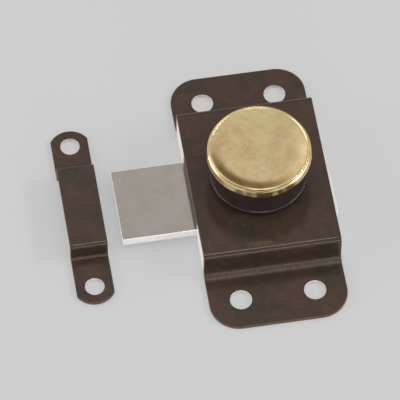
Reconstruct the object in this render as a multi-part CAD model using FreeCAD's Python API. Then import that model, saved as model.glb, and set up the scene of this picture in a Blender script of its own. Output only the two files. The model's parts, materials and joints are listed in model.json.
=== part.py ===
"""Surface-mounted turn-knob bolt latch: strap case, flat sliding bolt, quarter-turn knob and strap keeper.

Millimetres. The origin is the centre of the case's four screw holes, on the plane that the case
is screwed to. +Z points out of that plane, +Y along the case, and the bolt shoots towards -X.
The model is at rest with the bolt thrown and the keeper lying beside its tip.
"""
import FreeCAD, Part
import math
import os

V = FreeCAD.Vector
X_AXIS, Y_AXIS, Z_AXIS = V(1, 0, 0), V(0, 1, 0), V(0, 0, 1)

# Case: a strap pressed into a flat-topped hat, with open sides
SHEET = 1.0
CASE_WIDTH = 35.3
CASE_LENGTH = 77.0
CASE_HEIGHT = 9.6
CASE_FACE_HALF = 22.55
HAT_Y = 0.4  # the raised part sits this far off the middle of the feet
CASE_CORNER_R = 7.5
CASE_HOLE_R = 2.73
CASE_HOLES_X = 19.0
CASE_HOLES_Y = 61.0
TOP_BEND_R = 1.6
FOOT_BEND_R = 2.0

# Bolt: a plain flat bar
BOLT_WIDTH = 21.0
BOLT_THICKNESS = 2.6
BOLT_BOTTOM = 2.3
BOLT_TIP_X = -36.7
BOLT_TAIL_X = 18.9
BOLT_EDGE_R = 0.25
BOLT_TOP = BOLT_BOTTOM + BOLT_THICKNESS

# Crank drive: a quarter turn of the knob swings the pin from -45 to +45 degrees about +Y
CRANK_RADIUS = 8.5
CRANK_SWING = 45.0
THROW = 2 * CRANK_RADIUS * math.sin(math.radians(CRANK_SWING))
PIN_R = 1.5
PIN_TENON_R = 1.1
PIN_HEAD_R = 2.1
PIN_HEAD_HEIGHT = 0.6
PIN_BOTTOM = 2.0
NOTCH_HALF_WIDTH = 1.9
CRANK_THICKNESS = 1.75
CRANK_BOTTOM = 5.7
CRANK_BOSS_R = 5.4
CRANK_EYE_R = 3.0
CRANK_TOP = CRANK_BOTTOM + CRANK_THICKNESS

# Guide tray: a shallow folded tray welded inside the case
TRAY_SHEET = 0.8
TRAY_BOTTOM = 0.1
TRAY_HALF_X = 17.6
TRAY_WALL_HALF_Y = 21.4
TRAY_END_HALF_Y = CASE_FACE_HALF - SHEET
TRAY_NEAR_Y = HAT_Y - TRAY_END_HALF_Y
TRAY_SIDE_TOP = 8.3
TRAY_END_TOP = 7.4
TRAY_END_HALF_X = 15.0
TRAY_FLOOR_HALF_Y = 20.4
TRAY_BEND_R = 1.3
WINDOW_CLEARANCE = 0.07

# Travel stop: a stud in the bolt that runs in a slot in the tray's floor
STUD_R = 1.5
STUD_HEAD_R = 2.6
STUD_X = -4.0
STUD_Y = -6.5
STUD_BOTTOM = 0.35
STUD_HEAD_HEIGHT = 0.5
STOP_SLACK = 0.1

# Spindle, its bush and what holds them
SPINDLE_R = 3.5
SQUARE_SIDE = 4.9
PEEN_R = 3.4
PEEN_HEIGHT = 0.5
SPINDLE_SHOULDER_TOP = 10.7
SPINDLE_TOP = 18.1
TAP_R = 1.5
TAP_DEPTH = 7.6
RUNNING_CLEARANCE = 0.04
BUSH_BARREL_R = 4.9
BUSH_FLANGE_R = 6.0
BUSH_FLANGE_HEIGHT = 0.7
BUSH_FLARE_R = 5.8
BUSH_FLARE_HEIGHT = 0.5
THRUST_WASHER_R = 5.4
THRUST_WASHER_HEIGHT = 0.4

# Knob: a dark moulded collar under a pressed brass cap
CAP_R = 13.35
CAP_TOP = 22.9
CAP_SIDE = 2.95
CAP_SHEET = 0.6
CAP_DISH_R = 9.6
CAP_DISH_DEPTH = 0.8
CAP_DISH_BLEND_R = 12.0
CAP_BEAD_FOOT_R = 12.2
CAP_BEAD_FOOT_DEPTH = 0.25
CAP_BEAD_IN_R = 12.4
CAP_BEAD_OUT_R = 12.8
CAP_BEAD_HEIGHT = 0.55
CAP_SHOULDER_R = 12.97
CAP_SHOULDER_DEPTH = 0.72
CAP_FLARE_HEIGHT = 0.35
CAP_LIP_R = 12.6
CAP_LIP_HEIGHT = 0.55
COLLAR_R = 12.2
COLLAR_BOTTOM = 11.3
COLLAR_LIP_R = 12.5
COLLAR_LIP_HEIGHT = 0.75
COLLAR_FOOT_R = 11.5
COLLAR_FOOT_BOTTOM = 10.4
COLLAR_SPIGOT_R = 12.7
COLLAR_TOP = 21.2
COLLAR_DECK = 17.9
COLLAR_WALL = 1.8
HUB_R = 5.6
HUB_BOTTOM = 10.9
HUB_SEAT = 18.4
HEAD_RECESS_R = 4.9
INSERT_R = 4.5
INSERT_SIDES = 8
RIB_COUNT = 4
RIB_THICKNESS = 1.2
RIB_BOTTOM = 12.5
DISC_SPRING_SHEET = 0.3
DISC_SPRING_IN_R = 3.7
DISC_SPRING_OUT_R = 5.4
SCREW_WASHER_R = 4.3
SCREW_WASHER_HEIGHT = 0.4
SCREW_SHANK_R = 1.45
SCREW_SHANK_LENGTH = 7.2
SCREW_HEAD_R = 2.75
SCREW_HEAD_HEIGHT = 1.8
RECESS_WIDTH = 0.7
RECESS_LENGTH = 3.2
RECESS_DEPTH = 1.0

# Detent: a bowed leaf spring whose nose drops into one of two notches in the bolt's edge
LEAF_SHEET = 0.4
LEAF_BOTTOM = 2.0
LEAF_HEIGHT = 3.2
DETENT_X = 5.0
DETENT_NOTCH_R = 1.5
DETENT_CLEARANCE = 0.1
DETENT_OFFSET = 0.4
LEAF_FOOT_START_X = -14.0
LEAF_FOOT_END_X = -7.0
LEAF_RISE_X = 1.8
LEAF_TAIL_X = 9.0
LEAF_TAIL_DROP = 1.6
LEAF_RIVETS_X = (-12.4, -8.8)
LEAF_RIVET_R = 0.9
LEAF_RIVET_HEAD_R = 1.5
LEAF_RIVET_HEAD_HEIGHT = 0.7

# Keeper: a narrow hat strap that lies beside the bolt's tip
KEEPER_X = -45.4
KEEPER_Y = 0.9
KEEPER_WIDTH = 9.6
KEEPER_LENGTH = 53.0
KEEPER_HEIGHT = 6.1
KEEPER_FACE_HALF = 12.5
KEEPER_TOP_BEND_R = 1.3
KEEPER_FOOT_BEND_R = 0.6
KEEPER_END_R = 5.5
KEEPER_HOLE_R = 2.4
KEEPER_HOLES_Y = 43.3


def cylinder(radius, bottom, top, x=0.0, y=0.0):
    return Part.makeCylinder(radius, top - bottom, V(x, y, bottom))


def box(x_range, y_range, z_range):
    size = [high - low for low, high in (x_range, y_range, z_range)]
    return Part.makeBox(*size, V(x_range[0], y_range[0], z_range[0]))


def rounded_wire(corners):
    """A closed wire through (point, radius) corners, each rounded by a tangent arc."""
    edges = []
    ends = []
    count = len(corners)
    for i, (point, radius) in enumerate(corners):
        to_last = (corners[i - 1][0] - point).normalize()
        to_next = (corners[(i + 1) % count][0] - point).normalize()
        if radius == 0:
            ends.append((point, point))
            continue
        half = to_last.getAngle(to_next) / 2
        start = point + to_last * (radius / math.tan(half))
        end = point + to_next * (radius / math.tan(half))
        towards_centre = (to_last + to_next).normalize()
        middle = point + towards_centre * (radius / math.sin(half) - radius)
        edges.append(Part.Arc(start, middle, end).toShape())
        ends.append((start, end))
    for i in range(count):
        start, end = ends[i][1], ends[(i + 1) % count][0]
        if start.distanceToPoint(end) > 1e-6:
            edges.append(Part.makeLine(start, end))
    return Part.Wire(Part.__sortEdges__(edges))


def extrude(wire, direction):
    return Part.Face(wire).extrude(direction)


def turned(profile):
    """A solid turned about the Z axis from a closed outline of (radius, height, corner radius)."""
    wire = rounded_wire([(V(radius, 0, height), corner) for radius, height, corner in profile])
    return Part.Face(wire).revolve(V(0, 0, 0), Z_AXIS, 360)


def square_bar(side, bottom, top):
    half = side / 2
    return box((-half, half), (-half, half), (bottom, top))


def regular_prism(sides, radius, bottom, top):
    angles = [2 * math.pi * i / sides for i in range(sides)]
    corners = [V(radius * math.cos(a), radius * math.sin(a), bottom) for a in angles]
    return extrude(Part.makePolygon(corners + corners[:1]), V(0, 0, top - bottom))


def hat_strap(width, length, height, face_half, top_bend_r, foot_bend_r, hat_y=0.0):
    """A strap along Y, pressed up about hat_y, with its feet on the mounting plane."""
    outline = []
    for side in (1, -1):
        outer = hat_y + side * face_half
        inner = outer - side * SHEET
        end = side * length / 2
        half = [
            (outer, height, top_bend_r),
            (outer, SHEET, foot_bend_r),
            (end, SHEET, 0),
            (end, 0, 0),
            (inner, 0, foot_bend_r + SHEET),
            (inner, height - SHEET, top_bend_r - SHEET),
        ]
        outline += half[::side]
    wire = rounded_wire([(V(-width / 2, y, z), radius) for y, z, radius in outline])
    return extrude(wire, V(width, 0, 0))


def rectangle_blank(width, length, corner_r, top):
    corners = [(-width / 2, -length / 2), (width / 2, -length / 2), (width / 2, length / 2),
               (-width / 2, length / 2)]
    wire = rounded_wire([(V(x, y, 0), corner_r) for x, y in corners])
    return extrude(wire, V(0, 0, top))


def case_cover():
    strap = hat_strap(CASE_WIDTH, CASE_LENGTH, CASE_HEIGHT, CASE_FACE_HALF, TOP_BEND_R, FOOT_BEND_R, HAT_Y)
    strap = strap.common(rectangle_blank(CASE_WIDTH, CASE_LENGTH, CASE_CORNER_R, CASE_HEIGHT))
    for x in (-CASE_HOLES_X / 2, CASE_HOLES_X / 2):
        for y in (-CASE_HOLES_Y / 2, CASE_HOLES_Y / 2):
            strap = strap.cut(cylinder(CASE_HOLE_R, 0, SHEET, x, y))
    return strap.cut(cylinder(BUSH_BARREL_R, CASE_HEIGHT - SHEET, CASE_HEIGHT))


def folded_channel(half_width, floor_z, wall_top, half_length):
    """A U-section of tray sheet, open upwards: its width is along X and its length along Y."""
    inner = half_width - TRAY_SHEET
    right = [
        (half_width, floor_z, TRAY_BEND_R),
        (half_width, wall_top, 0),
        (inner, wall_top, 0),
        (inner, floor_z + TRAY_SHEET, TRAY_BEND_R - TRAY_SHEET),
    ]
    left = [(-x, z, r) for x, z, r in reversed(right)]
    outline = [(V(x, -half_length, z), r) for x, z, r in right + left]
    return extrude(rounded_wire(outline), V(0, 2 * half_length, 0))


def stop_slot():
    x_end = STUD_X + THROW
    radius = STUD_R + STOP_SLACK
    top = TRAY_BOTTOM + TRAY_SHEET
    slot = box((STUD_X, x_end), (STUD_Y - radius, STUD_Y + radius), (TRAY_BOTTOM, top))
    for x in (STUD_X, x_end):
        slot = slot.fuse(cylinder(radius, TRAY_BOTTOM, top, x, STUD_Y))
    return slot


def guide_tray():
    sides = folded_channel(TRAY_HALF_X, TRAY_BOTTOM, TRAY_SIDE_TOP, TRAY_WALL_HALF_Y)
    relief_top = TRAY_BOTTOM + TRAY_BEND_R + TRAY_SHEET
    for sign in (-1, 1):
        y_range = sorted((sign * TRAY_FLOOR_HALF_Y, sign * (TRAY_WALL_HALF_Y + 1)))
        sides = sides.cut(box((-TRAY_HALF_X, TRAY_HALF_X), y_range, (TRAY_BOTTOM, relief_top)))
    ends = folded_channel(TRAY_END_HALF_Y, TRAY_BOTTOM, TRAY_END_TOP, TRAY_END_HALF_X)
    ends.rotate(V(0, 0, 0), Z_AXIS, 90)
    tray = sides.fuse(ends).removeSplitter()
    tray.translate(V(0, HAT_Y, 0))
    window_half = BOLT_WIDTH / 2 + WINDOW_CLEARANCE
    window = box((-CASE_WIDTH, CASE_WIDTH), (-window_half, window_half),
                 (BOLT_BOTTOM - WINDOW_CLEARANCE, BOLT_TOP + WINDOW_CLEARANCE))
    tray = tray.cut(window).cut(stop_slot())
    for rivet_x in LEAF_RIVETS_X:
        tray = tray.cut(rivet_shank(rivet_x))
    return tray


def bolt_plate():
    plate = box((BOLT_TIP_X, BOLT_TAIL_X), (-BOLT_WIDTH / 2, BOLT_WIDTH / 2), (BOLT_BOTTOM, BOLT_TOP))
    plate = plate.makeFillet(BOLT_EDGE_R, plate.Edges)
    pin_x = -THROW / 2
    pin_y = CRANK_RADIUS * math.cos(math.radians(CRANK_SWING))
    notch = cylinder(NOTCH_HALF_WIDTH, BOLT_BOTTOM, BOLT_TOP, pin_x, pin_y)
    notch = notch.fuse(box((pin_x - NOTCH_HALF_WIDTH, pin_x + NOTCH_HALF_WIDTH), (pin_y, BOLT_WIDTH),
                           (BOLT_BOTTOM, BOLT_TOP)))
    plate = plate.cut(notch)
    for x in (DETENT_X, DETENT_X - THROW):
        plate = plate.cut(cylinder(DETENT_NOTCH_R, BOLT_BOTTOM, BOLT_TOP, x, detent_centre_y()))
    return plate.cut(cylinder(STUD_R, BOLT_BOTTOM, BOLT_TOP, STUD_X, STUD_Y))


def stop_stud():
    stud = cylinder(STUD_R, STUD_BOTTOM, BOLT_TOP, STUD_X, STUD_Y)
    return stud.fuse(cylinder(STUD_HEAD_R, BOLT_TOP, BOLT_TOP + STUD_HEAD_HEIGHT, STUD_X, STUD_Y))


def detent_centre_y():
    return -BOLT_WIDTH / 2 - DETENT_OFFSET


def detent_spring():
    """The leaf's mid-line: a riveted foot, a rise to the bolt's edge, a round nose and a free tail."""
    nose_r = DETENT_NOTCH_R - DETENT_CLEARANCE - LEAF_SHEET / 2
    centre = V(DETENT_X, detent_centre_y(), LEAF_BOTTOM)
    foot_y = TRAY_NEAR_Y + TRAY_SHEET + LEAF_SHEET / 2
    foot = V(LEAF_FOOT_START_X, foot_y, LEAF_BOTTOM)
    knee = V(LEAF_FOOT_END_X, foot_y, LEAF_BOTTOM)
    nose_start = centre + V(-nose_r, 0, 0)
    nose_end = centre + V(nose_r, 0, 0)
    shoulder = V(LEAF_RISE_X, centre.y - 1, LEAF_BOTTOM)
    tail = V(LEAF_TAIL_X, centre.y - LEAF_TAIL_DROP, LEAF_BOTTOM)
    path = Part.Wire([
        Part.makeLine(foot, knee),
        Part.makeLine(knee, shoulder),
        Part.makeLine(shoulder, nose_start),
        Part.Arc(nose_start, centre + V(0, nose_r, 0), nose_end).toShape(),
        Part.makeLine(nose_end, tail),
    ])
    leaf = extrude(path.makeOffset2D(LEAF_SHEET / 2), V(0, 0, LEAF_HEIGHT))
    for rivet_x in LEAF_RIVETS_X:
        leaf = leaf.cut(rivet_shank(rivet_x))
    return leaf


def rivet_shank(x):
    length = TRAY_SHEET + LEAF_SHEET
    z = LEAF_BOTTOM + LEAF_HEIGHT / 2
    return Part.makeCylinder(LEAF_RIVET_R, length, V(x, TRAY_NEAR_Y, z), Y_AXIS)


def spring_rivets():
    rivets = []
    for x in LEAF_RIVETS_X:
        head_at = V(x, TRAY_NEAR_Y + TRAY_SHEET + LEAF_SHEET, LEAF_BOTTOM + LEAF_HEIGHT / 2)
        head = Part.makeCylinder(LEAF_RIVET_HEAD_R, LEAF_RIVET_HEAD_HEIGHT, head_at, Y_AXIS)
        rim = [edge for edge in head.Edges if edge.CenterOfMass.y > head_at.y + LEAF_RIVET_HEAD_HEIGHT / 2
               and edge.Closed]
        rivets.append(rivet_shank(x).fuse(head.makeFillet(LEAF_RIVET_HEAD_HEIGHT * 0.7, rim)))
    return Part.makeCompound(rivets)


def face_bush():
    bore_r = SPINDLE_R + RUNNING_CLEARANCE
    seat = CASE_HEIGHT - SHEET
    return turned([
        (bore_r, seat - BUSH_FLANGE_HEIGHT, 0),
        (BUSH_FLANGE_R, seat - BUSH_FLANGE_HEIGHT, 0.2),
        (BUSH_FLANGE_R, seat, 0),
        (BUSH_BARREL_R, seat, 0),
        (BUSH_BARREL_R, CASE_HEIGHT, 0),
        (BUSH_FLARE_R, CASE_HEIGHT, 0),
        (BUSH_FLARE_R, CASE_HEIGHT + BUSH_FLARE_HEIGHT, 0.25),
        (bore_r, CASE_HEIGHT + BUSH_FLARE_HEIGHT, 0),
    ])


def spindle():
    peened_head = cylinder(PEEN_R, CRANK_BOTTOM - PEEN_HEIGHT, CRANK_BOTTOM)
    tenon = square_bar(SQUARE_SIDE, CRANK_BOTTOM, CRANK_TOP)
    journal = cylinder(SPINDLE_R, CRANK_TOP, SPINDLE_SHOULDER_TOP)
    drive = square_bar(SQUARE_SIDE, SPINDLE_SHOULDER_TOP, SPINDLE_TOP)
    tapped_hole = cylinder(TAP_R, SPINDLE_TOP - TAP_DEPTH, SPINDLE_TOP)
    return peened_head.fuse([tenon, journal, drive]).cut(tapped_hole)


def pin_place():
    """The crank pin's X and Y with the bolt thrown."""
    angle = math.radians(90 + CRANK_SWING)
    return CRANK_RADIUS * math.cos(angle), CRANK_RADIUS * math.sin(angle)


def crank_arm():
    """A tapered lever: a round boss on the spindle, a smaller eye on the pin and tangent flanks."""
    lean = math.acos((CRANK_BOSS_R - CRANK_EYE_R) / CRANK_RADIUS)
    flank = []
    for sign in (1, -1):
        direction = V(math.cos(sign * lean), math.sin(sign * lean), 0)
        on_boss = direction * CRANK_BOSS_R
        on_eye = direction * CRANK_EYE_R + V(CRANK_RADIUS, 0, 0)
        flank += [on_boss, on_eye] if sign == 1 else [on_eye, on_boss]
    web = Part.Face(Part.makePolygon(flank + flank[:1])).extrude(V(0, 0, CRANK_THICKNESS))
    web.translate(V(0, 0, CRANK_BOTTOM))
    boss = cylinder(CRANK_BOSS_R, CRANK_BOTTOM, CRANK_TOP)
    eye = cylinder(CRANK_EYE_R, CRANK_BOTTOM, CRANK_TOP, CRANK_RADIUS)
    arm = boss.fuse([web, eye]).removeSplitter()
    arm.rotate(V(0, 0, 0), Z_AXIS, 90 + CRANK_SWING)
    pin_x, pin_y = pin_place()
    arm = arm.cut(cylinder(PIN_TENON_R, CRANK_BOTTOM, CRANK_TOP, pin_x, pin_y))
    return arm.cut(square_bar(SQUARE_SIDE, CRANK_BOTTOM, CRANK_TOP))


def crank_pin():
    pin_x, pin_y = pin_place()
    body = cylinder(PIN_R, PIN_BOTTOM, CRANK_BOTTOM, pin_x, pin_y)
    tenon = cylinder(PIN_TENON_R, CRANK_BOTTOM, CRANK_TOP, pin_x, pin_y)
    head = cylinder(PIN_HEAD_R, CRANK_TOP, CRANK_TOP + PIN_HEAD_HEIGHT, pin_x, pin_y)
    return body.fuse([tenon, head])


def thrust_washer():
    bottom = CRANK_TOP
    top = bottom + THRUST_WASHER_HEIGHT
    return cylinder(THRUST_WASHER_R, bottom, top).cut(cylinder(SPINDLE_R, bottom, top))


def disc_spring():
    """A coned ring between the bush's flare and the knob's hub."""
    low = CASE_HEIGHT + BUSH_FLARE_HEIGHT + RUNNING_CLEARANCE
    high = HUB_BOTTOM - DISC_SPRING_SHEET
    return turned([
        (DISC_SPRING_OUT_R, low, 0),
        (DISC_SPRING_OUT_R, low + DISC_SPRING_SHEET, 0),
        (DISC_SPRING_IN_R, high + DISC_SPRING_SHEET, 0),
        (DISC_SPRING_IN_R, high, 0),
    ])


def knob_collar():
    """A hollow drum with a thin lip round its base, a hub and ribs, and a spigot that the cap grips."""
    drum_in_r = COLLAR_R - COLLAR_WALL
    body = turned([
        (0, HUB_BOTTOM, 0),
        (HUB_R, HUB_BOTTOM, 0.4),
        (HUB_R, COLLAR_DECK, 0.6),
        (drum_in_r, COLLAR_DECK, 0.6),
        (drum_in_r, COLLAR_FOOT_BOTTOM, 0),
        (COLLAR_FOOT_R, COLLAR_FOOT_BOTTOM, 0.3),
        (COLLAR_FOOT_R, COLLAR_BOTTOM, 0),
        (COLLAR_LIP_R, COLLAR_BOTTOM, 0.2),
        (COLLAR_LIP_R, COLLAR_BOTTOM + COLLAR_LIP_HEIGHT, 0.28),
        (COLLAR_R, COLLAR_BOTTOM + COLLAR_LIP_HEIGHT, 0),
        (COLLAR_R, CAP_TOP - CAP_SIDE + CAP_LIP_HEIGHT, 0),
        (COLLAR_SPIGOT_R, CAP_TOP - CAP_SIDE + CAP_LIP_HEIGHT, 0),
        (COLLAR_SPIGOT_R, COLLAR_TOP, 0.3),
        (HEAD_RECESS_R, COLLAR_TOP, 0),
        (HEAD_RECESS_R, HUB_SEAT, 0),
        (0, HUB_SEAT, 0),
    ])
    for i in range(RIB_COUNT):
        rib = box((HUB_R - 0.5, drum_in_r + 0.5), (-RIB_THICKNESS / 2, RIB_THICKNESS / 2),
                  (RIB_BOTTOM, COLLAR_DECK + 0.5))
        rib.rotate(V(0, 0, 0), Z_AXIS, (i + 0.5) * 360 / RIB_COUNT)
        body = body.fuse(rib)
    return body.cut(regular_prism(INSERT_SIDES, INSERT_R, HUB_BOTTOM, HUB_SEAT)).removeSplitter()


def knob_insert():
    """A metal drive sleeve moulded into the collar's hub, flat-sided so that it can't turn there."""
    sleeve = regular_prism(INSERT_SIDES, INSERT_R, HUB_BOTTOM, HUB_SEAT)
    return sleeve.cut(square_bar(SQUARE_SIDE, HUB_BOTTOM, HUB_SEAT))


def knob_cap():
    """Pressed sheet: a dished top inside a raised bead, a side that flares a little, and a curled lip."""
    bottom = CAP_TOP - CAP_SIDE
    dish = CAP_TOP - CAP_DISH_DEPTH
    wall_in_r = CAP_R - CAP_SHEET
    return turned([
        (0, dish, 0),
        (CAP_DISH_R, dish, CAP_DISH_BLEND_R),
        (CAP_BEAD_FOOT_R, CAP_TOP - CAP_BEAD_FOOT_DEPTH, 0.15),
        (CAP_BEAD_IN_R, CAP_TOP, 0.18),
        (CAP_BEAD_OUT_R, CAP_TOP, 0.22),
        (CAP_BEAD_OUT_R, CAP_TOP - CAP_BEAD_HEIGHT, 0.1),
        (CAP_SHOULDER_R, CAP_TOP - CAP_SHOULDER_DEPTH, 0.12),
        (CAP_R, bottom + CAP_FLARE_HEIGHT, 0.9),
        (CAP_R, bottom, 0.15),
        (CAP_LIP_R, bottom, 0.1),
        (CAP_LIP_R, bottom + CAP_LIP_HEIGHT, 0),
        (wall_in_r, bottom + CAP_LIP_HEIGHT, 0),
        (wall_in_r, COLLAR_TOP + 0.1, 0),
        (CAP_BEAD_FOOT_R, dish - CAP_SHEET, 0),
        (0, dish - CAP_SHEET, 0),
    ])


def knob_screw():
    head_bottom = HUB_SEAT + SCREW_WASHER_HEIGHT
    head_top = head_bottom + SCREW_HEAD_HEIGHT
    head = turned([(0, head_bottom, 0), (SCREW_HEAD_R, head_bottom, 0), (SCREW_HEAD_R, head_top, 0.9),
                   (0, head_top, 0)])
    half_length, half_width = RECESS_LENGTH / 2, RECESS_WIDTH / 2
    depth = (head_top - RECESS_DEPTH, head_top)
    cross = box((-half_length, half_length), (-half_width, half_width), depth)
    cross = cross.fuse(box((-half_width, half_width), (-half_length, half_length), depth))
    return head.cut(cross).fuse(cylinder(SCREW_SHANK_R, head_bottom - SCREW_SHANK_LENGTH, head_bottom))


def screw_washer():
    top = HUB_SEAT + SCREW_WASHER_HEIGHT
    return cylinder(SCREW_WASHER_R, HUB_SEAT, top).cut(cylinder(SCREW_SHANK_R, HUB_SEAT, top))


def keeper_blank():
    """The keeper's plan: straight sides and ends rounded a little flatter than a half circle."""
    half_width, half_length = KEEPER_WIDTH / 2, KEEPER_LENGTH / 2
    shoulder = half_length - KEEPER_END_R + math.sqrt(KEEPER_END_R ** 2 - half_width ** 2)
    edges = []
    for sign in (1, -1):
        start, end = V(sign * half_width, sign * shoulder, 0), V(-sign * half_width, sign * shoulder, 0)
        edges.append(Part.Arc(start, V(0, sign * half_length, 0), end).toShape())
        edges.append(Part.makeLine(end, V(-sign * half_width, -sign * shoulder, 0)))
    return extrude(Part.Wire(edges), V(0, 0, KEEPER_HEIGHT))


def keeper_strap():
    strap = hat_strap(KEEPER_WIDTH, KEEPER_LENGTH, KEEPER_HEIGHT, KEEPER_FACE_HALF, KEEPER_TOP_BEND_R,
                      KEEPER_FOOT_BEND_R)
    strap = strap.common(keeper_blank())
    for y in (-KEEPER_HOLES_Y / 2, KEEPER_HOLES_Y / 2):
        strap = strap.cut(cylinder(KEEPER_HOLE_R, 0, SHEET, 0, y))
    strap.translate(V(KEEPER_X, KEEPER_Y, 0))
    return strap


NODES = (
    case_cover, guide_tray, face_bush, detent_spring, spring_rivets, bolt_plate, stop_stud, spindle,
    crank_arm, crank_pin, thrust_washer, disc_spring, knob_collar, knob_insert, knob_cap, knob_screw,
    screw_washer, keeper_strap,
)

os.makedirs("parts", exist_ok=True)
for make_node in NODES:
    shape = make_node()
    name = make_node.__name__
    print(f"{name:14} valid={shape.isValid()} solids={len(shape.Solids)} volume={shape.Volume:.2f}")
    shape.exportStep(f"parts/{name}.step")
print(f"throw {THROW:.3f} mm for {2 * CRANK_SWING:.0f} degrees")
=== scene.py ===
"""Looks for the turn-knob bolt latch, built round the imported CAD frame. Metres, in the frame's axes."""
import json
import math

import bmesh
import bpy
from mathutils import Matrix, Vector


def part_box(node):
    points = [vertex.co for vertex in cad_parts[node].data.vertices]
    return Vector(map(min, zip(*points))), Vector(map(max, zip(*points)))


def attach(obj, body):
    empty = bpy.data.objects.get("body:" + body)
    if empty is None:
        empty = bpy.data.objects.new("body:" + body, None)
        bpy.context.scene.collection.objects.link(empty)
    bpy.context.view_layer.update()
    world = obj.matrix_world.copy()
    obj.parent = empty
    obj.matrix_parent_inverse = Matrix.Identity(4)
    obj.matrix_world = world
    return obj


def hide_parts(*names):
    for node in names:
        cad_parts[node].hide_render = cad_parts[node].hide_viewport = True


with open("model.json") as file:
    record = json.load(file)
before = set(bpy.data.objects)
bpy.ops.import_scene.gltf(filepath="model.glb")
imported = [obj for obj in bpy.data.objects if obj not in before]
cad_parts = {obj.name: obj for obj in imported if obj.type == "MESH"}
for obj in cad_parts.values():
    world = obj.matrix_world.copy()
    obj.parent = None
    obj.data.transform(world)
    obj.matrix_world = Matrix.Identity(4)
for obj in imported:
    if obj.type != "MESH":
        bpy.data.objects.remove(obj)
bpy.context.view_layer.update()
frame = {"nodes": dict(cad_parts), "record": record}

MM = 0.001
MOUNTS = {mount["name"]: mount for mount in frame["record"]["mounts"]}

# Pressed sheet, shared by the case and the keeper
SHEET = 1.0 * MM
SHEET_EDGE_R = 0.16 * MM
BEND_STEPS = 14
ARC_STEPS = 12
CIRCLE_STEPS = 64
FLAT_NORMAL = 0.95
SHARP_DEG = 40
HOLE_PROBE = 0.2 * MM
WELD_DISTANCE = 1e-7
CUT_TOLERANCE = 1e-8
ON_AXIS_R = 1e-9
# The crease along the bend at a foot: its run, the flat cut off on each side of it, and where the
# crease value peaks and how far it reaches, as shares of the bend's length
FOOT_BEND_RUN = 4
CREASE_FADE = 0.8 * MM
CREASE_PEAK = 0.6
CREASE_REACH = 0.5

# Case
CASE_FACE_HALF = 22.55 * MM
CASE_HAT_Y = 0.4 * MM
CASE_TOP_BEND_R = 1.6 * MM
CASE_FOOT_BEND_R = 2.0 * MM
CASE_CORNER_R = 7.5 * MM
BUSH_HOLE_R = 4.9 * MM

# Keeper
KEEPER_FACE_HALF = 12.5 * MM
KEEPER_TOP_BEND_R = 1.3 * MM
KEEPER_FOOT_BEND_R = 0.6 * MM
KEEPER_END_R = 5.5 * MM

# Bolt
BOLT_EDGE_R = 0.25 * MM
WINDOW_HALF = 10.57 * MM
CRANK_RADIUS = 8.5 * MM
NOTCH_HALF = 1.9 * MM
DETENT_X = 5.0 * MM
DETENT_R = 1.5 * MM
DETENT_OFFSET = 0.4 * MM
DETENT_STEPS = 20
# Painted highlight: the bar is coloured near white past this X, on its tail out beyond the case
TAIL_HIGHLIGHT_X = 17.4 * MM
TAIL_HIGHLIGHT_BLEND = 0.5 * MM
STUD_PLACE = Vector((-4.0 * MM, -6.5 * MM))
STUD_R = 1.5 * MM
STUD_STEPS = 40

# Painted shade on the tray over the window that the bolt shoots from, where the gap above the bolt is dark
SHADE_INSIDE = 0.3 * MM
SHADE_OUTSIDE = 0.5 * MM
SHADE_START_Z = 4.2 * MM
SHADE_FULL_Z = 5.0 * MM
SHADE_FULL_X = -16 * MM
SHADE_END_X = -15 * MM

# Knob cap
CAP_DISH_R = 10.4 * MM
CAP_DISH_DEPTH = 0.55 * MM
CAP_DISH_BLEND_R = 14.0 * MM
CAP_BEAD_FOOT_R = 12.2 * MM
CAP_BEAD_FOOT_DEPTH = 0.25 * MM
CAP_BEAD_IN_R = 12.4 * MM
CAP_BEAD_OUT_R = 12.8 * MM
CAP_BEAD_HEIGHT = 0.7 * MM
CAP_SHOULDER_R = 13.16 * MM
CAP_SHOULDER_DEPTH = 0.95 * MM
CAP_FLARE_HEIGHT = 0.35 * MM
CAP_WALL_HEIGHT = 1.35 * MM
CAP_SHEET = 0.6 * MM
CAP_LIP_HEIGHT = 0.55 * MM
CAP_LIP_R = 12.6 * MM
# Radii that round its profile's corners
CAP_BEAD_FOOT_BLEND_R = 0.15 * MM
CAP_BEAD_IN_BLEND_R = 0.18 * MM
CAP_BEAD_OUT_BLEND_R = 0.22 * MM
CAP_BEAD_BASE_BLEND_R = 0.1 * MM
CAP_SHOULDER_BLEND_R = 0.12 * MM
CAP_FLARE_BLEND_R = 0.9 * MM
CAP_RIM_BLEND_R = 0.15 * MM
CAP_LIP_BLEND_R = 0.1 * MM
LATHE_STEPS = 160


# ---------------------------------------------------------------- outlines and mesh helpers

def rounded(corners, steps=ARC_STEPS):
    """Points of a closed outline through (u, v, radius) corners, each rounded by a tangent arc."""
    points = []
    for i, (u, v, radius) in enumerate(corners):
        here = Vector((u, v))
        if radius == 0:
            points.append(here)
            continue
        last, following = corners[i - 1], corners[(i + 1) % len(corners)]
        to_last = (Vector(last[:2]) - here).normalized()
        to_next = (Vector(following[:2]) - here).normalized()
        half = to_last.angle(to_next) / 2
        centre = here + (to_last + to_next).normalized() * (radius / math.sin(half))
        start = here + to_last * (radius / math.tan(half)) - centre
        turn = math.pi - 2 * half
        if to_last.cross(to_next) > 0:
            turn = -turn
        for k in range(steps + 1):
            a = turn * k / steps
            spun = Vector((start.x * math.cos(a) - start.y * math.sin(a),
                           start.x * math.sin(a) + start.y * math.cos(a)))
            points.append(centre + spun)
    return points


def circle(radius, x=0.0, y=0.0, steps=CIRCLE_STEPS):
    angles = [2 * math.pi * k / steps for k in range(steps)]
    return [Vector((x + radius * math.cos(a), y + radius * math.sin(a))) for a in angles]


def add_object(name, mesh):
    piece = bpy.data.objects.new(name, mesh)
    bpy.context.scene.collection.objects.link(piece)
    return piece


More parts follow.
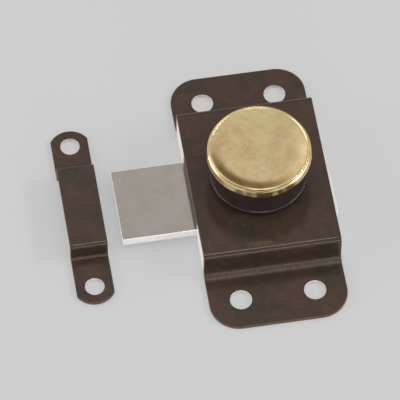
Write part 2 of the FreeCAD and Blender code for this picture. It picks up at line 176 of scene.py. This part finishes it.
def inside(point, loop):
    """Whether a point is inside a closed loop of points, by counting crossings."""
    crossings = 0
    for first, second in zip(loop, loop[1:] + loop[:1]):
        if (first.y > point.y) != (second.y > point.y):
            crossings += point.x < first.x + (second.x - first.x) * (point.y - first.y) / (second.y - first.y)
    return crossings % 2 == 1


def plate(name, outline, holes, thickness, edge_r):
    """A flat plate about z = 0 with rounded edges, from an outline and holes given as point lists.
    Faces get material 0 on the flats, 1 on the outer rim and 2 in the holes."""
    curve = bpy.data.curves.new(name, "CURVE")
    curve.dimensions = "2D"
    curve.fill_mode = "BOTH"
    curve.extrude = thickness / 2 - edge_r
    curve.bevel_depth = edge_r
    curve.bevel_resolution = 2
    curve.offset = -edge_r
    for loop in [outline, *holes]:
        spline = curve.splines.new("POLY")
        spline.points.add(len(loop) - 1)
        for point, at in zip(spline.points, loop):
            point.co = (at.x, at.y, 0, 1)
        spline.use_cyclic_u = True
    helper = add_object(name + "_outline", curve)
    mesh = bpy.data.meshes.new_from_object(helper)
    bpy.data.objects.remove(helper)
    mesh.name = name
    work = bmesh.new()
    work.from_mesh(mesh)
    bmesh.ops.remove_doubles(work, verts=work.verts, dist=WELD_DISTANCE)
    bmesh.ops.recalc_face_normals(work, faces=work.faces)
    for face in work.faces:
        face.smooth = True
        if abs(face.normal.z) < FLAT_NORMAL:
            at = face.calc_center_median() - face.normal * HOLE_PROBE
            behind = Vector((at.x, at.y))
            ahead = behind + face.normal.xy.normalized() * 3 * HOLE_PROBE
            face.material_index = 2 if any(inside(ahead, hole) for hole in holes) else 1
    work.to_mesh(mesh)
    work.free()
    return mesh


def bend_path(runs):
    """For (length, angle) runs of a mid-line that starts level, a map from length along it and
    height off it to distance out and height. A positive angle turns the line downwards."""
    def place(along, height):
        out, up, heading = 0.0, 0.0, 0.0
        for i, (length, angle) in enumerate(runs):
            step = along if i == len(runs) - 1 else min(along, length)
            if angle == 0:
                out += step * math.cos(heading)
                up -= step * math.sin(heading)
            else:
                radius = length / angle
                turned = heading + step / radius
                out += radius * (math.sin(turned) - math.sin(heading))
                up += radius * (math.cos(turned) - math.cos(heading))
                heading = turned
            along -= step
            if along <= 0:
                break
        return out + height * math.sin(heading), up + height * math.cos(heading)
    return place


def fold(mesh, runs_by_side, crease_run):
    """Folds a flat plate along Y, after cutting it finely at the bends. The runs for the +Y half are
    under 1 and those for the -Y half under -1. Along the run numbered crease_run, where the fold crazes
    the sheet's finish, the "crease" attribute rises to 1 and falls again. Away from it, it is 0."""
    work = bmesh.new()
    work.from_mesh(mesh)
    crease = work.verts.layers.float.new("crease")
    for side, runs in runs_by_side.items():
        start = 0.0
        for length, angle in runs:
            steps = BEND_STEPS if angle else 0
            for k in range(steps + 1):
                along = side * (start + (length * k / steps if steps else 0))
                geometry = [*work.verts, *work.edges, *work.faces]
                bmesh.ops.bisect_plane(work, geom=geometry, dist=CUT_TOLERANCE,
                                       plane_co=(0, along, 0), plane_no=(0, 1, 0))
            start += length
    places = {side: bend_path(runs) for side, runs in runs_by_side.items()}
    spans = {side: (sum(length for length, _ in runs[:crease_run]), runs[crease_run][0])
             for side, runs in runs_by_side.items()}
    for vertex in work.verts:
        side = 1 if vertex.co.y > 0 else -1
        start, length = spans[side]
        off_peak = abs((abs(vertex.co.y) - start) / length - CREASE_PEAK)
        vertex[crease] = max(0.0, 1 - off_peak / CREASE_REACH)
        out, up = places[side](abs(vertex.co.y), vertex.co.z)
        vertex.co.y = side * out
        vertex.co.z = up
    work.to_mesh(mesh)
    work.free()


def move(mesh, x=0.0, y=0.0, z=0.0):
    mesh.transform(Matrix.Translation((x, y, z)))


def lathe(name, profile):
    """A closed (radius, height) outline turned about the Z axis."""
    work = bmesh.new()
    rings = []
    for point in profile:
        if point.x < ON_AXIS_R:
            rings.append([work.verts.new((0, 0, point.y))])
            continue
        angles = [2 * math.pi * k / LATHE_STEPS for k in range(LATHE_STEPS)]
        rings.append([work.verts.new((point.x * math.cos(a), point.x * math.sin(a), point.y))
                      for a in angles])
    for ring, following in zip(rings, rings[1:] + rings[:1]):
        for k in range(LATHE_STEPS):
            after = (k + 1) % LATHE_STEPS
            corners = [ring[k % len(ring)], ring[after % len(ring)], following[after % len(following)],
                       following[k % len(following)]]
            unique = list(dict.fromkeys(corners))
            if len(unique) > 2:
                work.faces.new(unique)
    bmesh.ops.recalc_face_normals(work, faces=work.faces)
    for face in work.faces:
        face.smooth = True
    mesh = bpy.data.meshes.new(name)
    work.to_mesh(mesh)
    work.free()
    return mesh


def finish_piece(name, mesh, materials, node, body):
    """Places a piece in the scene, standing for one CAD node."""
    for material in materials:
        mesh.materials.append(material)
    mesh.set_sharp_from_angle(angle=math.radians(SHARP_DEG))
    piece = add_object(name, mesh)
    weighted = piece.modifiers.new("weighted_normals", "WEIGHTED_NORMAL")
    weighted.keep_sharp = True
    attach(piece, body)
    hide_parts(node)


# ---------------------------------------------------------------- materials

# Sockets of a Mix node that is set to colours
COLOUR_A, COLOUR_B, COLOUR_OUT = 6, 7, 2


class Nodes:
    """A Principled material with short calls for the nodes that feed it."""

    def __init__(self, name, **settings):
        self.material = bpy.data.materials.new(name)
        self.material.use_nodes = True
        self.tree = self.material.node_tree
        self.shader = self.tree.nodes["Principled BSDF"]
        for socket, value in settings.items():
            self.shader.inputs[socket.replace("_", " ")].default_value = value
        self.place = self.add("ShaderNodeTexCoord").outputs["Object"]

    def add(self, kind, **values):
        node = self.tree.nodes.new(kind)
        for key, value in values.items():
            setattr(node, key, value)
        return node

    def link(self, output, node_input):
        self.tree.links.new(output, node_input)

    def stretched(self, scale):
        mapping = self.add("ShaderNodeMapping")
        mapping.inputs["Scale"].default_value = scale
        self.link(self.place, mapping.inputs["Vector"])
        return mapping.outputs["Vector"]

    def axes(self):
        """The X, Y and Z of the place on the object, by name."""
        node = self.add("ShaderNodeSeparateXYZ")
        self.link(self.place, node.inputs["Vector"])
        return node.outputs

    def noise(self, size, detail, roughness, distortion=0.0, stretch=(1, 1, 1), shift=0.0):
        """Noise with features of about the given size in metres, as a 0 to 1 value."""
        node = self.add("ShaderNodeTexNoise", noise_dimensions="4D")
        node.inputs["Scale"].default_value = 1 / size
        node.inputs["Detail"].default_value = detail
        node.inputs["Roughness"].default_value = roughness
        node.inputs["Distortion"].default_value = distortion
        node.inputs["W"].default_value = shift
        self.link(self.stretched(stretch), node.inputs["Vector"])
        return node.outputs["Fac"]

    def remap(self, value, low, high, to_low=0.0, to_high=1.0):
        """A value eased from one range to another. The new bounds are floats or other nodes' outputs."""
        node = self.add("ShaderNodeMapRange", interpolation_type="SMOOTHSTEP")
        node.inputs["From Min"].default_value = low
        node.inputs["From Max"].default_value = high
        for socket, bound in ((node.inputs["To Min"], to_low), (node.inputs["To Max"], to_high)):
            if isinstance(bound, float):
                socket.default_value = bound
            else:
                self.link(bound, socket)
        self.link(value, node.inputs["Value"])
        return node.outputs["Result"]

    def faded(self, value, most):
        """A 0 to 1 value eased to run from 0 to most."""
        return self.remap(value, 0.0, 1.0, 0.0, most)

    def product(self, first, second):
        node = self.add("ShaderNodeMath", operation="MULTIPLY")
        self.link(first, node.inputs[0])
        self.link(second, node.inputs[1])
        return node.outputs[0]

    def mix(self, factor, first, second):
        """A colour between two, each a plain colour or another node's output."""
        node = self.add("ShaderNodeMix", data_type="RGBA")
        self.link(factor, node.inputs["Factor"])
        for socket, colour in ((node.inputs[COLOUR_A], first), (node.inputs[COLOUR_B], second)):
            if isinstance(colour, tuple):
                socket.default_value = (*colour, 1)
            else:
                self.link(colour, socket)
        return node.outputs[COLOUR_OUT]

    def colour(self, output):
        self.link(output, self.shader.inputs["Base Color"])

    def roughness(self, output):
        self.link(output, self.shader.inputs["Roughness"])

    def bump(self, heights):
        """Chains (value, height in metres) pairs into the shader's normal."""
        last = None
        for value, height in heights:
            node = self.add("ShaderNodeBump")
            node.inputs["Distance"].default_value = height
            self.link(value, node.inputs["Height"])
            if last:
                self.link(last, node.inputs["Normal"])
            last = node.outputs["Normal"]
        self.link(last, self.shader.inputs["Normal"])


# Pale crazing along the foot bend, whose tone is also a painted highlight there
CRAZED_HIGHLIGHT_TONE = (0.135, 0.098, 0.094)
CRAZED_ROUGHNESS = 0.36
BRASS_TONE = (0.80, 0.63, 0.335)
BRASS_CLOUD_TONE = (0.68, 0.515, 0.255)
BRASS_TARNISH_TONE = (0.52, 0.365, 0.17)
BRASS_PALE_TONE = (0.88, 0.73, 0.45)
BAR_TONE = (0.475, 0.425, 0.385)
BAR_CLOUD_TONE = (0.425, 0.392, 0.352)
BAR_STAIN_TONE = (0.40, 0.31, 0.225)
# Near white: a painted highlight on the bar's tail
BAR_TAIL_HIGHLIGHT_TONE = (0.97, 0.91, 0.89)


def lacquer(name, warm, cool, lift, rough):
    """Mottled bronze-brown lacquer on pressed steel: cloudy hue, dusty flecks, faint orange peel and
    scuffs, and crazing where the "crease" attribute marks a bend, in a pale tone that is also a
    painted highlight along the bend."""
    m = Nodes(name, Specular_IOR_Level=0.42, Specular_Tint=(1.0, 0.76, 0.72, 1))
    cloud = m.remap(m.noise(9 * MM, detail=4, roughness=0.6, distortion=0.8), low=0.38, high=0.62)
    patch = m.remap(m.noise(2.4 * MM, detail=3, roughness=0.65, distortion=0.4, shift=3.0),
                    low=0.42, high=0.75)
    flecks = m.remap(m.noise(0.6 * MM, detail=3, roughness=0.7, shift=9.0), low=0.5, high=0.8, to_high=0.5)
    base = m.mix(cloud, warm, cool)
    base = m.mix(m.faded(patch, 0.45), base, lift)
    crease = m.add("ShaderNodeAttribute", attribute_name="crease").outputs["Fac"]
    crazing = m.product(crease, m.noise(0.45 * MM, detail=4, roughness=0.65, distortion=0.3,
                                        stretch=(1.0, 0.2, 0.2), shift=8.0))
    # The crazed tone is pale: crazing, and also a painted highlight along the foot bend
    m.colour(m.mix(m.remap(crazing, low=0.3, high=0.6, to_high=0.5), m.mix(flecks, base, lift), CRAZED_HIGHLIGHT_TONE))
    gloss = m.remap(m.noise(2.2 * MM, detail=4, roughness=0.6, shift=7.0), 0.3, 0.7, *rough)
    m.roughness(m.remap(crease, 0.0, 1.0, to_low=gloss, to_high=CRAZED_ROUGHNESS))
    peel = m.noise(0.8 * MM, detail=2, roughness=0.5, shift=1.0)
    scuffs = m.remap(m.noise(0.5 * MM, detail=3, roughness=0.7, distortion=0.5, stretch=(0.1, 1.0, 1.0),
                             shift=5.0), low=0.58, high=0.8)
    m.bump([(peel, 0.005 * MM), (scuffs, 0.006 * MM), (crazing, 0.04 * MM)])
    return m.material


def metal(name, light, dark, rough, cloud_size, grain, grain_stretch, grain_height, metallic=1.0, coat=0.0):
    """A metal with cloudy tone, uneven gloss and a fine grain."""
    m = Nodes(name, Metallic=metallic, Coat_Weight=coat, Coat_Roughness=0.15)
    cloud = m.remap(m.noise(cloud_size, detail=4, roughness=0.62, distortion=0.8), low=0.34, high=0.66)
    m.colour(m.mix(cloud, light, dark))
    streaks = m.noise(grain, detail=3, roughness=0.6, stretch=grain_stretch, shift=2.0)
    m.roughness(m.remap(streaks, 0.25, 0.75, *rough))
    m.bump([(streaks, grain_height)])
    return m.material


def cap_metal():
    """Lacquered pressed brass: smeary gloss, a few darker tarnish clouds and a barely uneven surface."""
    m = Nodes("cap_brass", Metallic=1.0, Coat_Weight=0.25, Coat_Roughness=0.08)
    cloud = m.remap(m.noise(6 * MM, detail=5, roughness=0.68, distortion=1.2), low=0.36, high=0.66)
    tarnish = m.remap(m.noise(2.6 * MM, detail=4, roughness=0.7, distortion=0.9, stretch=(0.6, 1.0, 1.0),
                              shift=4.0), low=0.5, high=0.74)
    pale = m.remap(m.noise(4 * MM, detail=4, roughness=0.66, distortion=0.6, stretch=(1.0, 0.7, 1.0),
                           shift=11.0), low=0.52, high=0.76)
    base = m.mix(cloud, BRASS_TONE, BRASS_CLOUD_TONE)
    base = m.mix(m.faded(tarnish, 0.6), base, BRASS_TARNISH_TONE)
    m.colour(m.mix(m.faded(pale, 0.55), base, BRASS_PALE_TONE))
    smears = m.noise(4 * MM, detail=4, roughness=0.65, distortion=0.8, stretch=(1.0, 0.4, 1.0), shift=6.0)
    m.roughness(m.remap(smears, low=0.3, high=0.7, to_low=0.11, to_high=0.24))
    waves = m.noise(6 * MM, detail=2, roughness=0.5, shift=2.0)
    m.bump([(waves, 0.014 * MM), (m.noise(0.5 * MM, detail=2, roughness=0.5), 0.0012 * MM)])
    return m.material


def plated_bar():
    """Plain plated steel bar stock: a fine drawn grain, faint warm stains, and a painted highlight that
    turns its tail near white."""
    m = Nodes("satin_nickel", Metallic=1.0)
    cloud = m.remap(m.noise(8 * MM, detail=4, roughness=0.6, distortion=0.5), low=0.36, high=0.64)
    stain = m.remap(m.noise(4.5 * MM, detail=4, roughness=0.7, distortion=1.0, shift=3.0), low=0.56, high=0.8)
    base = m.mix(cloud, BAR_TONE, BAR_CLOUD_TONE)
    base = m.mix(m.faded(stain, 0.5), base, BAR_STAIN_TONE)
    # Painted highlight: the tail turns near white past the given X
    tail = m.remap(m.axes()["X"], TAIL_HIGHLIGHT_X - TAIL_HIGHLIGHT_BLEND, TAIL_HIGHLIGHT_X)
    m.colour(m.mix(tail, base, BAR_TAIL_HIGHLIGHT_TONE))
    grain = m.noise(0.3 * MM, detail=3, roughness=0.6, stretch=(1.0, 0.08, 1.0), shift=2.0)
    m.roughness(m.remap(grain, low=0.25, high=0.75, to_low=0.09, to_high=0.17))
    m.bump([(grain, 0.0008 * MM)])
    return m.material


def tray_zinc(name, light, dark, painted_shade):
    """Zinc plate, dull white, with painted shade over the window that the bolt shoots from."""
    m = Nodes(name, Metallic=0.15)
    cloud = m.remap(m.noise(5 * MM, detail=4, roughness=0.62, distortion=0.8), low=0.34, high=0.66)
    unshaded = m.mix(cloud, light, dark)
    axes = m.axes()
    off_centre = m.add("ShaderNodeMath", operation="ABSOLUTE")
    m.link(axes["Y"], off_centre.inputs[0])
    beside = m.remap(off_centre.outputs[0], WINDOW_HALF - SHADE_INSIDE, WINDOW_HALF + SHADE_OUTSIDE,
                     to_low=1.0, to_high=0.0)
    above = m.remap(axes["Z"], SHADE_START_Z, SHADE_FULL_Z)
    bolt_side = m.remap(axes["X"], SHADE_FULL_X, SHADE_END_X, to_low=1.0, to_high=0.0)
    # Painted shade: darker above the bolt's window on the -X side, where the gap over the bolt is in shadow
    m.colour(m.mix(m.product(bolt_side, m.product(beside, above)), unshaded, painted_shade))
    streaks = m.noise(0.3 * MM, detail=3, roughness=0.6, stretch=(1.0, 0.15, 1.0), shift=2.0)
    m.roughness(m.remap(streaks, low=0.25, high=0.75, to_low=0.34, to_high=0.5))
    m.bump([(streaks, 0.002 * MM)])
    return m.material


def moulding(name, base, sheen_tone, rough):
    """A glossy dark moulding with a barely uneven surface."""
    m = Nodes(name, Specular_IOR_Level=0.5)
    m.colour(m.mix(m.remap(m.noise(3 * MM, detail=4, roughness=0.6), low=0.35, high=0.65), base, sheen_tone))
    m.roughness(m.remap(m.noise(1.1 * MM, detail=3, roughness=0.6, shift=4.0), 0.3, 0.7, *rough))
    m.bump([(m.noise(0.9 * MM, detail=2, roughness=0.5), 0.003 * MM)])
    return m.material


LACQUER = lacquer("bronze_lacquer", warm=(0.053, 0.0305, 0.0220), cool=(0.033, 0.0285, 0.0190),
                  lift=(0.076, 0.047, 0.037), rough=(0.13, 0.25))
LACQUER_EDGE = lacquer("bronze_lacquer_edge", warm=(0.120, 0.058, 0.036), cool=(0.075, 0.044, 0.029),
                       lift=(0.190, 0.110, 0.072), rough=(0.30, 0.45))
SHEARED = metal("sheared_steel", light=(0.82, 0.78, 0.73), dark=(0.66, 0.61, 0.56), rough=(0.35, 0.5),
                cloud_size=1.5 * MM, grain=0.15 * MM, grain_stretch=(1.0, 1.0, 0.2),
                grain_height=0.003 * MM, metallic=0.6)
NICKEL = plated_bar()
# Near-white plating on the bolt's sides, rounded edges and stud hole: painted light, a lit copy of the bar's
# plating
NICKEL_PAINTED_LIGHT = metal("satin_nickel_painted_light", light=(0.97, 0.93, 0.91), dark=(0.90, 0.86, 0.84),
                    rough=(0.34, 0.46), cloud_size=3 * MM, grain=0.3 * MM, grain_stretch=(0.1, 1.0, 1.0),
                    grain_height=0.002 * MM, metallic=0.25)
BRASS = cap_metal()
TURNED_BRASS = metal("turned_brass", light=(0.70, 0.50, 0.22), dark=(0.60, 0.42, 0.18), rough=(0.22, 0.36),
                     cloud_size=4 * MM, grain=0.2 * MM, grain_stretch=(0.3, 0.3, 2.0),
                     grain_height=0.002 * MM)
ZINC = metal("bright_zinc", light=(0.93, 0.92, 0.90), dark=(0.85, 0.86, 0.87), rough=(0.34, 0.5),
             cloud_size=5 * MM, grain=0.3 * MM, grain_stretch=(1.0, 0.15, 1.0),
             grain_height=0.002 * MM, metallic=0.4)
# Its dark tone is the painted shade over the bolt's window
TRAY_ZINC = tray_zinc("tray_zinc", light=(0.95, 0.93, 0.905), dark=(0.88, 0.87, 0.86),
                      painted_shade=(0.050, 0.042, 0.036))
SPRING_STEEL = metal("spring_steel", light=(0.24, 0.26, 0.32), dark=(0.18, 0.18, 0.22), rough=(0.22, 0.34),
                     cloud_size=3 * MM, grain=0.25 * MM, grain_stretch=(0.15, 1.0, 1.0),
                     grain_height=0.002 * MM)
DRIVE_STEEL = metal("drive_steel", light=(0.46, 0.45, 0.43), dark=(0.34, 0.335, 0.33), rough=(0.28, 0.45),
                    cloud_size=2.5 * MM, grain=0.2 * MM, grain_stretch=(1.0, 1.0, 1.0),
                    grain_height=0.003 * MM, coat=0.15)
MOULDING = moulding("dark_moulding", base=(0.025, 0.0165, 0.0155), sheen_tone=(0.034, 0.0215, 0.0205),
                    rough=(0.12, 0.22))

CARRIED = {
    "guide_tray": TRAY_ZINC, "face_bush": TURNED_BRASS, "detent_spring": SPRING_STEEL, "spring_rivets": ZINC,
    "stop_stud": DRIVE_STEEL, "spindle": DRIVE_STEEL, "crank_arm": DRIVE_STEEL, "crank_pin": DRIVE_STEEL,
    "thrust_washer": DRIVE_STEEL, "disc_spring": SPRING_STEEL, "knob_collar": MOULDING,
    "knob_insert": DRIVE_STEEL, "knob_screw": ZINC, "screw_washer": ZINC,
}


def dress_carried_nodes():
    for node, material in CARRIED.items():
        mesh = frame["nodes"][node].data
        mesh.materials.clear()
        mesh.materials.append(material)


# ---------------------------------------------------------------- the pieces

def hat_runs(face_half, height, half_length, top_bend_r, foot_bend_r):
    """The strap's mid-line from the middle of its raised face to the end of a foot."""
    quarter = math.pi / 2
    return [
        (face_half - top_bend_r, 0),
        ((top_bend_r - SHEET / 2) * quarter, quarter),
        (height - top_bend_r - SHEET - foot_bend_r - CREASE_FADE, 0),
        (CREASE_FADE, 0),
        ((foot_bend_r + SHEET / 2) * quarter, -quarter),
        (CREASE_FADE, 0),
        (half_length - face_half - foot_bend_r - CREASE_FADE, 0),
    ]


def strap(name, node, outline_for, mount, face_half, bend_rs, hat_y=0.0, extra_holes=()):
    """A strap cut flat with its holes, folded into a hat about hat_y and set on the mounting plane."""
    low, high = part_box(node)
    height = high[2] - low[2]
    half_length = (high[1] - low[1]) / 2
    runs_by_side = {side: hat_runs(face_half + side * hat_y, height, half_length, *bend_rs)
                    for side in (1, -1)}
    flat_half = sum(length for length, _ in runs_by_side[1])
    dims = MOUNTS[mount]["dims"]
    flat_y = flat_half - (half_length - dims["spacing_y_mm"] * MM / 2)
    half_spacing = dims.get("spacing_x_mm", 0.0) * MM / 2
    hole_xs = sorted({-half_spacing, half_spacing})
    holes = [circle(dims["hole_r_mm"] * MM, x, y) for x in hole_xs for y in (-flat_y, flat_y)]
    outline = outline_for((high[0] - low[0]) / 2, flat_half)
    mesh = plate(name, outline, [*holes, *extra_holes], SHEET, SHEET_EDGE_R)
    fold(mesh, runs_by_side, FOOT_BEND_RUN)
    move(mesh, (low[0] + high[0]) / 2, (low[1] + high[1]) / 2, height - SHEET / 2)
    return mesh


def case_outline(half_width, half_length):
    corners = [(-half_width, -half_length), (half_width, -half_length), (half_width, half_length),
               (-half_width, half_length)]
    return rounded([(x, y, CASE_CORNER_R) for x, y in corners], 2 * ARC_STEPS)


def keeper_outline(half_width, half_length):
    """Straight sides, and ends rounded a little flatter than a half circle."""
    sweep = math.asin(half_width / KEEPER_END_R)
    points = []
    for side in (1, -1):
        for k in range(2 * ARC_STEPS + 1):
            a = sweep * (1 - k / ARC_STEPS)
            out = half_length - KEEPER_END_R + KEEPER_END_R * math.cos(a)
            points.append(Vector((side * KEEPER_END_R * math.sin(a), side * out)))
    return points


def make_case():
    mesh = strap("case_strap", "case_cover", case_outline, "case_screws", CASE_FACE_HALF,
                 (CASE_TOP_BEND_R, CASE_FOOT_BEND_R), CASE_HAT_Y, [circle(BUSH_HOLE_R)])
    finish_piece("case_strap", mesh, [LACQUER, LACQUER_EDGE, SHEARED], "case_cover", "case")


def make_keeper():
    mesh = strap("keeper_hat", "keeper_strap", keeper_outline, "keeper_screws", KEEPER_FACE_HALF,
                 (KEEPER_TOP_BEND_R, KEEPER_FOOT_BEND_R))
    finish_piece("keeper_hat", mesh, [LACQUER, LACQUER_EDGE, SHEARED], "keeper_strap", "keeper")


def scallop(centre_x, centre_y, radius, edge_y):
    """Points of a round bite out of a straight edge, from right to left, bulging away from the edge."""
    reach = math.sqrt(radius ** 2 - (edge_y - centre_y) ** 2)
    start = math.atan2(edge_y - centre_y, reach)
    angles = [start + (math.pi - 2 * start) * k / DETENT_STEPS for k in range(DETENT_STEPS + 1)]
    return [Vector((centre_x + radius * math.cos(a), centre_y + radius * math.sin(a))) for a in angles]


def bolt_outline(low, high):
    """The bar's plan, with the crank pin's notch in its far edge and two detent notches in its near edge."""
    throw = math.sqrt(2) * CRANK_RADIUS
    pin = Vector((-throw / 2, throw / 2))
    half = (high[1] - low[1]) / 2
    notch = [Vector((pin.x + NOTCH_HALF, half))]
    notch += [pin + NOTCH_HALF * Vector((math.cos(a), math.sin(a)))
              for a in (-math.pi * k / ARC_STEPS for k in range(ARC_STEPS + 1))]
    notch.append(Vector((pin.x - NOTCH_HALF, half)))
    centre_y = -half - DETENT_OFFSET
    detents = []
    for x in (DETENT_X - throw, DETENT_X):
        detents += reversed(scallop(x, centre_y, DETENT_R, -half))
    return [Vector((high[0], half)), *notch, Vector((low[0], half)), Vector((low[0], -half)), *detents,
            Vector((high[0], -half))]


def make_bolt():
    low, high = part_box("bolt_plate")
    stud_hole = circle(STUD_R, *STUD_PLACE, STUD_STEPS)
    mesh = plate("bolt_bar", bolt_outline(low, high), [stud_hole], high[2] - low[2], BOLT_EDGE_R)
    move(mesh, z=(low[2] + high[2]) / 2)
    # The near-white sides and edges are painted light
    finish_piece("bolt_bar", mesh, [NICKEL, NICKEL_PAINTED_LIGHT, NICKEL_PAINTED_LIGHT], "bolt_plate", "bolt")


def make_cap():
    """The pressed cap: a dished top inside a raised bead, a side that flares a little, and a curled lip."""
    low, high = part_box("knob_cap")
    radius, top, bottom = high[0], high[2], low[2]
    wall_in_r = radius - CAP_SHEET
    dish = top - CAP_DISH_DEPTH
    profile = rounded([
        (0, dish, 0), (CAP_DISH_R, dish, CAP_DISH_BLEND_R),
        (CAP_BEAD_FOOT_R, top - CAP_BEAD_FOOT_DEPTH, CAP_BEAD_FOOT_BLEND_R),
        (CAP_BEAD_IN_R, top, CAP_BEAD_IN_BLEND_R), (CAP_BEAD_OUT_R, top, CAP_BEAD_OUT_BLEND_R),
        (CAP_BEAD_OUT_R, top - CAP_BEAD_HEIGHT, CAP_BEAD_BASE_BLEND_R),
        (CAP_SHOULDER_R, top - CAP_SHOULDER_DEPTH, CAP_SHOULDER_BLEND_R),
        (radius, bottom + CAP_FLARE_HEIGHT, CAP_FLARE_BLEND_R), (radius, bottom, CAP_RIM_BLEND_R),
        (CAP_LIP_R, bottom, CAP_LIP_BLEND_R), (CAP_LIP_R, bottom + CAP_LIP_HEIGHT, 0),
        (wall_in_r, bottom + CAP_LIP_HEIGHT, 0), (wall_in_r, bottom + CAP_WALL_HEIGHT, 0),
        (CAP_BEAD_FOOT_R, dish - CAP_SHEET, 0), (0, dish - CAP_SHEET, 0),
    ])
    mesh = lathe("knob_cap_pressing", profile)
    finish_piece("knob_cap_pressing", mesh, [BRASS], "knob_cap", "knob")


# ---------------------------------------------------------------- floor, light and camera

FLOOR_TONE = (0.22, 0.22, 0.22, 1)
FLOOR_GLOW = 0.375
FLOOR_HALF = 3.0
FLOOR_DROP = 0.1 * MM
ROOM_TONE = 0.72
# Zones of the room's walls, which are grey, brown and bright: (towards, dot product where it starts,
# where it is full, its tint)
ROOM_ZONES = (
    ((-0.09, -0.54, 0.83), 0.93, 0.985, (0.30, 0.30, 0.30)),
    ((0.29, 0.80, 0.53), 0.91, 0.975, (0.28, 0.21, 0.15)),
    ((-0.13, 0.75, 0.64), 0.93, 0.985, (1.45, 1.42, 1.45)),
)
# Softboxes aimed at the object: (name, place in metres, size in metres, radiance)
SOFTBOXES = (
    ("overhead", (0.0, -0.33, 1.15), (0.45, 0.16), 9.0),
    ("low_front", (0.0, -1.4, 0.33), (1.2, 0.16), 6.0),
    ("left", (-1.9, 0.3, 0.6), (1.8, 1.3), 1.8),
    ("right", (1.5, -0.3, 1.1), (1.4, 0.2), 14.0),
)
LAMP_TARGET = (0, 0, 0.01)
CAMERA_PLACE = (-0.12232, -0.63597, 0.97750)
CAMERA_TURN = (0.58438, -0.00390, -0.16119)
CAMERA_LENS_MM = 411.4
CAMERA_CLIP = (0.01, 20)


def make_floor():
    mesh = bpy.data.meshes.new("floor")
    corners = [(x * FLOOR_HALF, y * FLOOR_HALF, -FLOOR_DROP) for x, y in ((-1, -1), (1, -1), (1, 1), (-1, 1))]
    mesh.from_pydata(corners, [], [(0, 1, 2, 3)])
    m = Nodes("floor_paper", Roughness=0.9, Specular_IOR_Level=0.1, Base_Color=FLOOR_TONE,
              Emission_Color=(1, 1, 1, 1), Emission_Strength=FLOOR_GLOW)
    mesh.materials.append(m.material)
    add_object("floor", mesh)


def area_light(name, place, size, watts):
    light = bpy.data.lights.new(name, "AREA")
    light.shape = "RECTANGLE"
    light.size, light.size_y = size
    light.energy = watts
    lamp = add_object(name, light)
    lamp.location = place
    lamp.rotation_euler = (Vector(LAMP_TARGET) - Vector(place)).to_track_quat("-Z", "Y").to_euler()


def make_world():
    """A white room with three soft zones, set by direction: grey and dark towards the front and above,
    brown and dark at the back to the right, and brighter at the back to the left."""
    world = bpy.data.worlds.new("studio")
    world.use_nodes = True
    tree = world.node_tree
    direction = tree.nodes.new("ShaderNodeTexCoord").outputs["Generated"]
    background = tree.nodes["Background"]
    background.inputs["Strength"].default_value = ROOM_TONE
    tone = None
    for towards, start, full, tint in ROOM_ZONES:
        dot = tree.nodes.new("ShaderNodeVectorMath")
        dot.operation = "DOT_PRODUCT"
        dot.inputs[1].default_value = Vector(towards).normalized()
        tree.links.new(direction, dot.inputs[0])
        ramp = tree.nodes.new("ShaderNodeMapRange")
        ramp.interpolation_type = "SMOOTHSTEP"
        ramp.inputs["From Min"].default_value = start
        ramp.inputs["From Max"].default_value = full
        tree.links.new(dot.outputs["Value"], ramp.inputs["Value"])
        tinted = tree.nodes.new("ShaderNodeMix")
        tinted.data_type = "RGBA"
        tinted.blend_type = "MULTIPLY"
        tinted.inputs[COLOUR_A].default_value = (1, 1, 1, 1)
        tinted.inputs[COLOUR_B].default_value = (*tint, 1)
        tree.links.new(ramp.outputs["Result"], tinted.inputs["Factor"])
        if tone:
            tree.links.new(tone, tinted.inputs[COLOUR_A])
        tone = tinted.outputs[COLOUR_OUT]
    tree.links.new(tone, background.inputs["Color"])
    bpy.context.scene.world = world


def make_lights():
    for name, place, size, radiance in SOFTBOXES:
        watts = radiance * math.pi * size[0] * size[1]
        area_light(name, place, size, watts)


def make_camera():
    camera = add_object("camera", bpy.data.cameras.new("camera"))
    camera.location = CAMERA_PLACE
    camera.rotation_euler = CAMERA_TURN
    camera.data.lens = CAMERA_LENS_MM
    camera.data.clip_start, camera.data.clip_end = CAMERA_CLIP
    bpy.context.scene.camera = camera


make_camera()
make_floor()
make_world()
make_lights()
dress_carried_nodes()
make_case()
make_keeper()
make_bolt()
make_cap()
bpy.context.scene.view_settings.view_transform = "Standard"
